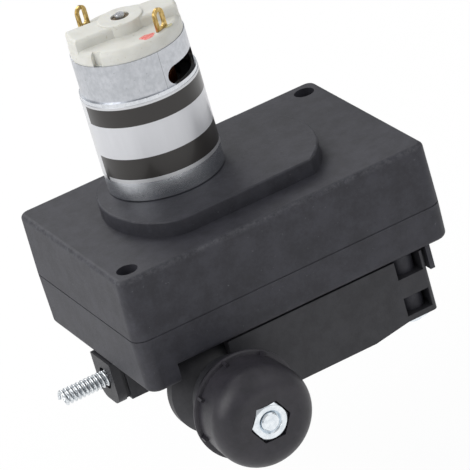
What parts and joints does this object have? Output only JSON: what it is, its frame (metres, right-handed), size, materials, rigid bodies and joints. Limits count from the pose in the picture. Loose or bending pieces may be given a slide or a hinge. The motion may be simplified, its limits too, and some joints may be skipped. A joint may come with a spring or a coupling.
{
  "type": "wire feeder",
  "caption": "Small wire feeder: moulded gearbox case with a round motor on its back, and a drive roll, sprung pressure arm, tension knob and wire guides on its front.",
  "frame": {"origin": "middle of the flat back face of the gearbox case, midway between the two mounting holes", "axes": "+Z out of the back along the motor shaft; +X along the wire towards the torch; -Y towards the tension knob"},
  "size_m": [0.1231, 0.1045, 0.1275],
  "materials": {
    "case_plastic": "fine moulded texture",
    "arm_plastic": "moulded",
    "knob_plastic": "moulded satin",
    "zinc_steel": "zinc plated",
    "bright_steel": "bright",
    "ivory_nylon": "satin",
    "label": "printed film, no lettering",
    "brass": "bright",
    "ferrite": "ground",
    "carbon": "pressed"
  },
  "bodies": {
    "case": {"rear_cover": "case_plastic", "front_case": "case_plastic", "case_screws": "zinc_steel", "motor_can": "zinc_steel", "flux_ring": "zinc_steel", "motor_label": "label", "end_bell": "ivory_nylon", "terminals": "brass", "motor_bushings": "brass", "magnets": "ferrite", "carbon_brushes": "carbon", "brush_springs": "zinc_steel", "motor_screws": "zinc_steel", "idler_pin": "bright_steel", "idler_washers": "zinc_steel", "bearing_outer_races": "bright_steel", "bearing_balls": "bright_steel", "bolt_pin": "zinc_steel", "bolt_pin_clip": "zinc_steel", "inlet_guide": "case_plastic", "guide_coil": "bright_steel", "inlet_tube": "bright_steel", "outlet_tube": "bright_steel", "torch_screw": "zinc_steel", "pivot_washer": "zinc_steel", "pivot_screw": "zinc_steel"},
    "drive": {"output_gear": "bright_steel", "output_shaft": "bright_steel", "gear_pin": "bright_steel", "bearing_inner_races": "bright_steel", "shaft_clip": "zinc_steel", "drive_roll": "bright_steel", "roll_key": "bright_steel", "roll_screw": "zinc_steel"},
    "idler": {"idler_gear": "ivory_nylon"},
    "armature": {"motor_shaft": "bright_steel", "armature_core": "bright_steel", "armature_windings": "brass", "commutator": "brass", "motor_pinion": "bright_steel"},
    "arm": {"pressure_arm": "arm_plastic", "roller_axle": "bright_steel", "axle_clip": "zinc_steel"},
    "roller": {"pressure_roller": "bright_steel"},
    "bolt": {"tension_bolt": "bright_steel", "tension_spring": "bright_steel"},
    "cup": {"spring_cup": "arm_plastic"},
    "carrier": {"thrust_washer": "zinc_steel"},
    "knob": {"tension_knob": "knob_plastic", "knob_nut": "bright_steel"}
  },
  "joints": [
    {"name": "drive_spin", "type": "hinge", "parent": "case", "child": "drive", "pos_m": [0.012, 0.01115, -0.0455], "axis": [0, 0, 1], "continuous": true},
    {"name": "idler_spin", "type": "hinge", "parent": "case", "child": "idler", "pos_m": [0.00218, -0.00662, -0.0125], "axis": [0, 0, 1], "continuous": true},
    {"name": "motor_spin", "type": "hinge", "parent": "case", "child": "armature", "pos_m": [-0.0128, 0.0081, 0.03], "axis": [0, 0, 1], "continuous": true},
    {"name": "arm_lift", "type": "hinge", "parent": "case", "child": "arm", "pos_m": [0.0375, -0.031, -0.044], "axis": [0, 0, 1], "range_deg": [0, 3], "stiffness_Nm_per_rad": 30, "springref_deg": -2.86},
    {"name": "pressure_roller_spin", "type": "hinge", "parent": "arm", "child": "roller", "pos_m": [0.012, -0.01115, -0.0455], "axis": [0, 0, 1], "continuous": true},
    {"name": "bolt_swing", "type": "hinge", "parent": "case", "child": "bolt", "pos_m": [-0.0297, -0.018, -0.0483], "axis": [1, 0, 0], "range_deg": [0, 95]},
    {"name": "cup_slide", "type": "slide", "parent": "bolt", "child": "cup", "axis": [0, -1, 0], "range_m": [0, 0.0036], "deforming": ["tension_spring"]},
    {"name": "knob_travel", "type": "slide", "parent": "bolt", "child": "carrier", "axis": [0, 1, 0], "range_m": [-0.00102, 0.00302]},
    {"name": "knob_turn", "type": "hinge", "parent": "carrier", "child": "knob", "pos_m": [-0.0297, -0.057, -0.0483], "axis": [0, 1, 0], "range_deg": [-360, 1080]}
  ],
  "couplings": [
    {"joint": "idler_spin", "follows": "drive_spin", "ratio": -3.8333},
    {"joint": "motor_spin", "follows": "drive_spin", "ratio": 23},
    {"joint": "cup_slide", "follows": "arm_lift", "m_per_rad": 0.0672},
    {"joint": "knob_travel", "follows": "knob_turn", "m_per_rad": 0.00015915}
  ]
}
